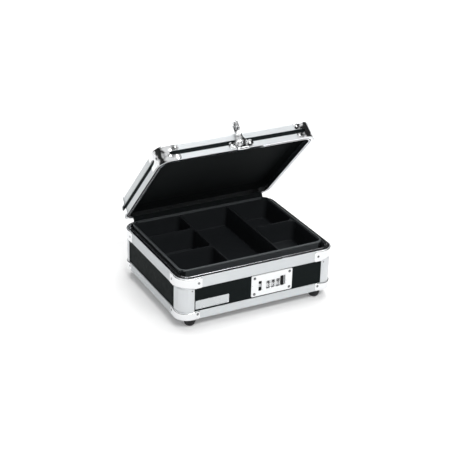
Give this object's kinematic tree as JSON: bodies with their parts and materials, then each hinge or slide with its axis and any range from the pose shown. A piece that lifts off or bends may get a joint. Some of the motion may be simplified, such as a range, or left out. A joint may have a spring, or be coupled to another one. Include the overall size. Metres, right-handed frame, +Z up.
{
  "type": "cash box",
  "caption": "Small rectangular case with rounded capped corners, an open hinged lid with a hasp, a dial lock on the front and a lift-out divided tray inside.",
  "frame": {"origin": "middle of the whole open box's footprint, on the floor under its feet", "axes": "+Z up, +X towards the box's right side seen from the front, +Y towards its back; the lock faces -Y; the lid is stored open at 47.1 degrees"},
  "size_m": [0.2562, 0.227, 0.2742],
  "materials": {
    "aluminium": "extruded aluminium with fine lengthwise ribs",
    "chrome": "bright chrome-plated pressed steel",
    "steel": "plain zinc-plated steel",
    "black_panel": "black, fine leather-like grain, satin",
    "lining": "black flocked lining",
    "tray_plastic": "black moulded plastic, satin, fine texture",
    "rubber": "black moulded rubber",
    "dial": "satin nickel with engraved black digits",
    "slider": "black, ribbed grip"
  },
  "bodies": {
    "base": {"base_bottom_rim": "aluminium", "base_top_rim": "aluminium", "post_front_left": "aluminium", "post_front_right": "aluminium", "post_back_left": "aluminium", "post_back_right": "aluminium", "top_cap_front_left": "chrome", "top_cap_front_right": "chrome", "top_cap_back_left": "chrome", "top_cap_back_right": "chrome", "bottom_cap_front_left": "chrome", "bottom_cap_front_right": "chrome", "bottom_cap_back_left": "chrome", "bottom_cap_back_right": "chrome", "front_panel": "black_panel", "back_panel": "black_panel", "left_panel": "black_panel", "right_panel": "black_panel", "bottom_panel": "black_panel", "base_lining": "lining", "tray_ledge_left": "lining", "tray_ledge_right": "lining", "foot_front_left": "rubber", "foot_front_right": "rubber", "foot_back_left": "rubber", "foot_back_right": "rubber", "lock_plate": "chrome", "lock_case": "steel", "dial_axle": "steel", "bolt_spring": "steel", "badge_plate": "aluminium", "lock_rivet_1": "chrome", "lock_rivet_2": "chrome", "lock_rivet_3": "chrome", "lock_rivet_4": "chrome", "hinge_base_leaf_left": "chrome", "hinge_base_leaf_right": "chrome", "hinge_pin_left": "steel", "hinge_pin_right": "steel"},
    "lid": {"lid_rim": "aluminium", "lid_top_edge": "aluminium", "lid_top_panel": "black_panel", "lid_wall": "black_panel", "lid_lining": "lining", "lid_cap_front_left": "chrome", "lid_cap_front_right": "chrome", "lid_cap_back_left": "chrome", "lid_cap_back_right": "chrome", "hinge_lid_leaf_left": "chrome", "hinge_lid_leaf_right": "chrome", "hasp_base": "chrome", "hasp_pin": "steel"},
    "hasp": {"hasp_arm": "chrome", "hasp_staple": "steel"},
    "dial_1": {"dial_1": "dial"},
    "dial_2": {"dial_2": "dial"},
    "dial_3": {"dial_3": "dial"},
    "release": {"release_slider": "slider", "lock_bolt": "steel"},
    "tray": {"tray": "tray_plastic"}
  },
  "joints": [
    {"name": "lid_hinge", "type": "hinge", "parent": "base", "child": "lid", "pos_m": [0, 0.09846, 0.084], "axis": [-1, 0, 0], "range_deg": [-47.1, 55]},
    {"name": "hasp_hinge", "type": "hinge", "parent": "lid", "child": "hasp", "pos_m": [0.0015, -0.04729, 0.23864], "axis": [-1, 0, 0], "range_deg": [-180, 0]},
    {"name": "dial_1_spin", "type": "hinge", "parent": "base", "child": "dial_1", "pos_m": [0.015, -0.10494, 0.0462], "axis": [1, 0, 0], "continuous": true},
    {"name": "dial_2_spin", "type": "hinge", "parent": "base", "child": "dial_2", "pos_m": [0.023, -0.10494, 0.0462], "axis": [1, 0, 0], "continuous": true},
    {"name": "dial_3_spin", "type": "hinge", "parent": "base", "child": "dial_3", "pos_m": [0.031, -0.10494, 0.0462], "axis": [1, 0, 0], "continuous": true},
    {"name": "lock_release", "type": "slide", "parent": "base", "child": "release", "axis": [1, 0, 0], "range_m": [0, 0.0034], "stiffness_N_per_m": 350, "springref_m": -0.004},
    {"name": "tray_lift", "type": "slide", "parent": "base", "child": "tray", "axis": [0, 0, 1], "range_m": [0, 0.015]}
  ]
}
